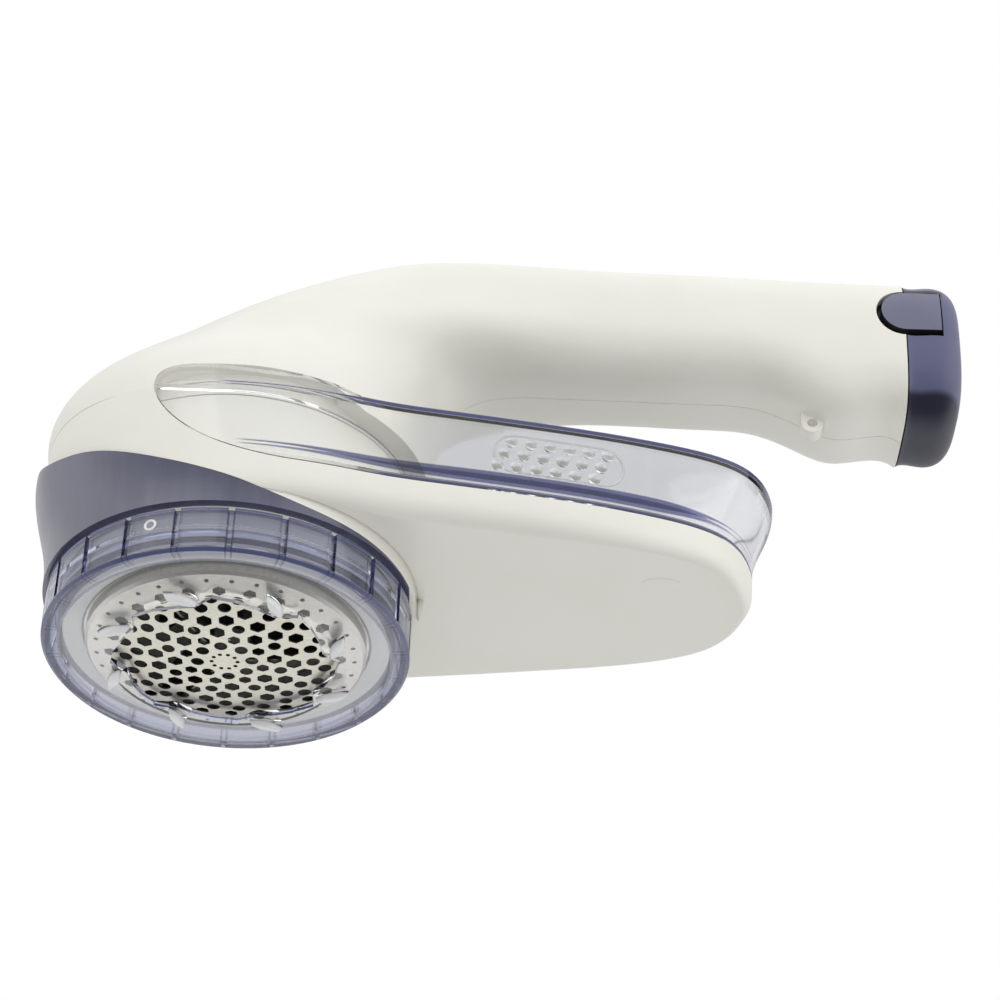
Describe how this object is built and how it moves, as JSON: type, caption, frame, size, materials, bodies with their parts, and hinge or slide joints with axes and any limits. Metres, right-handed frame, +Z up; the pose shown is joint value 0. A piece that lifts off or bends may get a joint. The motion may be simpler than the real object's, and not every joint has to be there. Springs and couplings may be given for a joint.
{
  "type": "fabric shaver",
  "caption": "Battery fabric shaver: arched hand grip over a clear lint container, with a round perforated foil and a clear guard ring on its downward head.",
  "frame": {"origin": "on the cutting head's axis, in the plane of the guard's nub tips that rides on the cloth", "axes": "+Z up away from the cloth, along the head's axis; +X from the head to the handle's rear end; +Y towards the right half shell"},
  "size_m": [0.1821, 0.074, 0.0944],
  "materials": {
    "ivory_plastic": "gloss injection-moulded ABS",
    "slate_plastic": "satin slate-blue ABS",
    "clear_plastic": "clear polycarbonate",
    "clear_guard": "clear, faintly blue polycarbonate",
    "pale_plastic": "satin ABS",
    "foil_steel": "fine brushed stainless foil",
    "blade_steel": "ground steel",
    "spring_steel": "drawn wire",
    "screw_steel": "zinc plated",
    "zinc_steel": "drawn can",
    "laminated_steel": "laminated core",
    "ferrite": "sintered ferrite",
    "dark_plastic": "black nylon",
    "brass_contact": "plated contact",
    "cell_wrap": "plain cell jacket",
    "red_insulation": "wire insulation",
    "black_insulation": "wire insulation"
  },
  "bodies": {
    "body": {"handle_shell_left": "ivory_plastic", "handle_shell_right": "ivory_plastic", "base_housing": "ivory_plastic", "head_collar": "slate_plastic", "motor_mount": "dark_plastic", "motor_can": "zinc_steel", "motor_magnets": "ferrite", "motor_end_bell": "dark_plastic", "motor_terminals": "brass_contact", "deck_screws": "screw_steel", "motor_screws": "screw_steel", "shell_screws": "screw_steel", "switch_body": "dark_plastic", "battery_cell_front": "cell_wrap", "battery_cell_rear": "cell_wrap", "front_contact": "brass_contact", "contact_strip": "brass_contact", "lead_positive": "red_insulation", "lead_negative": "black_insulation"},
    "rotor": {"motor_shaft": "spring_steel", "motor_armature": "laminated_steel", "fan_impeller": "dark_plastic", "blade_carrier": "dark_plastic", "cutter_blades": "blade_steel", "carrier_spring": "spring_steel"},
    "foil_frame": {"foil_holder": "pale_plastic", "shaving_foil": "foil_steel"},
    "guard": {"guard_ring": "clear_guard"},
    "container": {"lint_container": "clear_plastic"},
    "cap": {"battery_cap": "slate_plastic", "cap_spring": "spring_steel", "cap_contact": "brass_contact"},
    "latch": {"cap_latch": "slate_plastic"},
    "switch": {"switch_slider": "slate_plastic"}
  },
  "joints": [
    {"name": "rotor_spin", "type": "hinge", "parent": "body", "child": "rotor", "pos_m": [0, 0, 0.02], "axis": [0, 0, 1], "continuous": true},
    {"name": "foil_lift", "type": "slide", "parent": "body", "child": "foil_frame", "axis": [0, 0, -1], "range_m": [0, 0.03]},
    {"name": "guard_twist", "type": "hinge", "parent": "foil_frame", "child": "guard", "pos_m": [0, 0, 0.008], "axis": [0, 0, 1], "range_deg": [0, 20]},
    {"name": "container_slide", "type": "slide", "parent": "body", "child": "container", "axis": [1, 0, 0], "range_m": [0, 0.125]},
    {"name": "cap_pull", "type": "slide", "parent": "body", "child": "cap", "axis": [1, 0, 0], "range_m": [0, 0.03]},
    {"name": "latch_flex", "type": "hinge", "parent": "cap", "child": "latch", "pos_m": [0.1383, -0.0135, 0.082], "axis": [0, 0, 1], "range_deg": [0, 8], "stiffness_Nm_per_rad": 0.05},
    {"name": "switch_slide", "type": "slide", "parent": "body", "child": "switch", "axis": [0.891, 0, 0.454], "range_m": [0, 0.005]}
  ]
}
